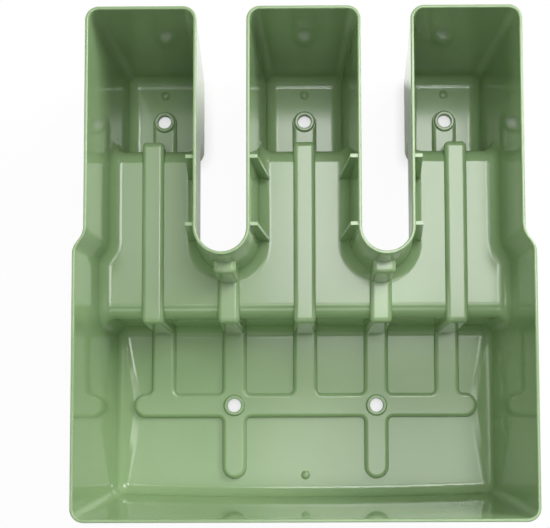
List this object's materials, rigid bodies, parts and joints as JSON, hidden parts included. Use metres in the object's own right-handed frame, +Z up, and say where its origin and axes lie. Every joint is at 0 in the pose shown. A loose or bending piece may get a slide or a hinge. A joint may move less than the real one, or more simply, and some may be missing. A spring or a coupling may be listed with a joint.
{
  "type": "wall planter",
  "caption": "Open-topped saddle planter that straddles a wall, with a front trough, a ribbed deck over a channel, rear pockets parted by U-shaped slots, and drain bushes.",
  "frame": {"origin": "centre of the planter's bounding box, on the surface that it stands on", "axes": "+Z up, out of the planter's mouth; +Y from the front trough to the rear pockets; +X to the right hand"},
  "size_m": [0.4, 0.447, 0.18],
  "materials": {
    "planter_plastic": "glossy injection-moulded polypropylene, sage green",
    "bush_plastic": "glossy injection-moulded polypropylene, sage green"
  },
  "bodies": {
    "root": {"front_trough": "planter_plastic", "saddle_deck": "planter_plastic", "left_side_wall": "planter_plastic", "right_side_wall": "planter_plastic", "left_slot_wall": "planter_plastic", "right_slot_wall": "planter_plastic", "left_pocket": "planter_plastic", "centre_pocket": "planter_plastic", "right_pocket": "planter_plastic", "left_pocket_drain_bush": "bush_plastic", "centre_pocket_drain_bush": "bush_plastic", "right_pocket_drain_bush": "bush_plastic", "left_trough_drain_bush": "bush_plastic", "right_trough_drain_bush": "bush_plastic"}
  },
  "joints": []
}
